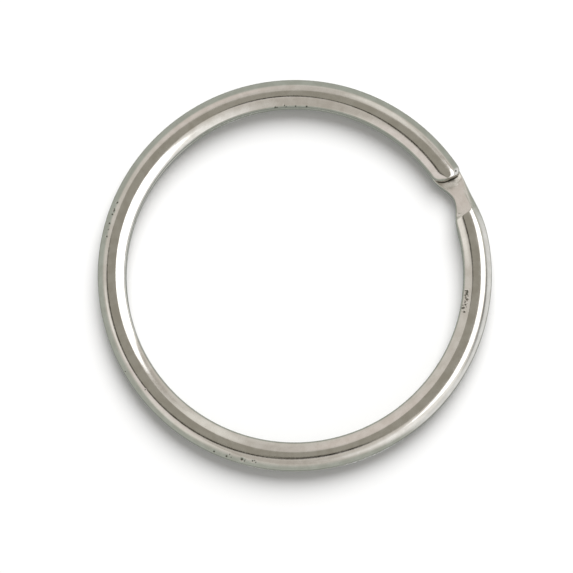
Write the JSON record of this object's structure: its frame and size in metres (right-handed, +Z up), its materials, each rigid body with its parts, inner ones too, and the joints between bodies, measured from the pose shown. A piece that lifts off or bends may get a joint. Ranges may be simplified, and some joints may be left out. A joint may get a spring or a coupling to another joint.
{
  "type": "split key ring",
  "caption": "Flat split key ring wound from springy nickel-plated wire, with a narrow crossover between its turns and free ends that lift so that keys can be threaded on.",
  "frame": {"origin": "middle of the ring, on the plane that its underside rests on", "axes": "+Z up out of the flat ring; +X and +Y in the ring's plane, with the middle of the crossover 25.3 degrees from +X towards +Y"},
  "size_m": [0.028, 0.028, 0.002],
  "materials": {
    "nickel_wire": "gloss"
  },
  "bodies": {
    "lower_spring_half": {"lower_turn_spring_1": "nickel_wire", "lower_turn_spring_2": "nickel_wire", "lower_turn_spring_3": "nickel_wire", "lower_free_end": "nickel_wire"},
    "crossover_half": {"upper_turn_still_1": "nickel_wire", "upper_turn_still_2": "nickel_wire", "upper_turn_still_3": "nickel_wire", "lower_turn_still_1": "nickel_wire", "lower_turn_still_2": "nickel_wire", "lower_turn_still_3": "nickel_wire", "crossover": "nickel_wire"},
    "upper_spring_half": {"upper_turn_spring_1": "nickel_wire", "upper_turn_spring_2": "nickel_wire", "upper_turn_spring_3": "nickel_wire", "upper_free_end": "nickel_wire"}
  },
  "joints": [
    {"name": "lower_end_lift", "type": "hinge", "parent": "lower_spring_half", "child": "crossover_half", "pos_m": [-0.01193, -0.00709, 0.001], "axis": [0.4179, -0.9085, 0], "range_deg": [0, 6.43], "stiffness_Nm_per_rad": 1.8},
    {"name": "upper_end_lift", "type": "hinge", "parent": "crossover_half", "child": "upper_spring_half", "pos_m": [-0.01305, -0.00472, 0.00104], "axis": [0.4368, -0.8996, 0], "range_deg": [0, 6.43], "stiffness_Nm_per_rad": 1.8}
  ]
}
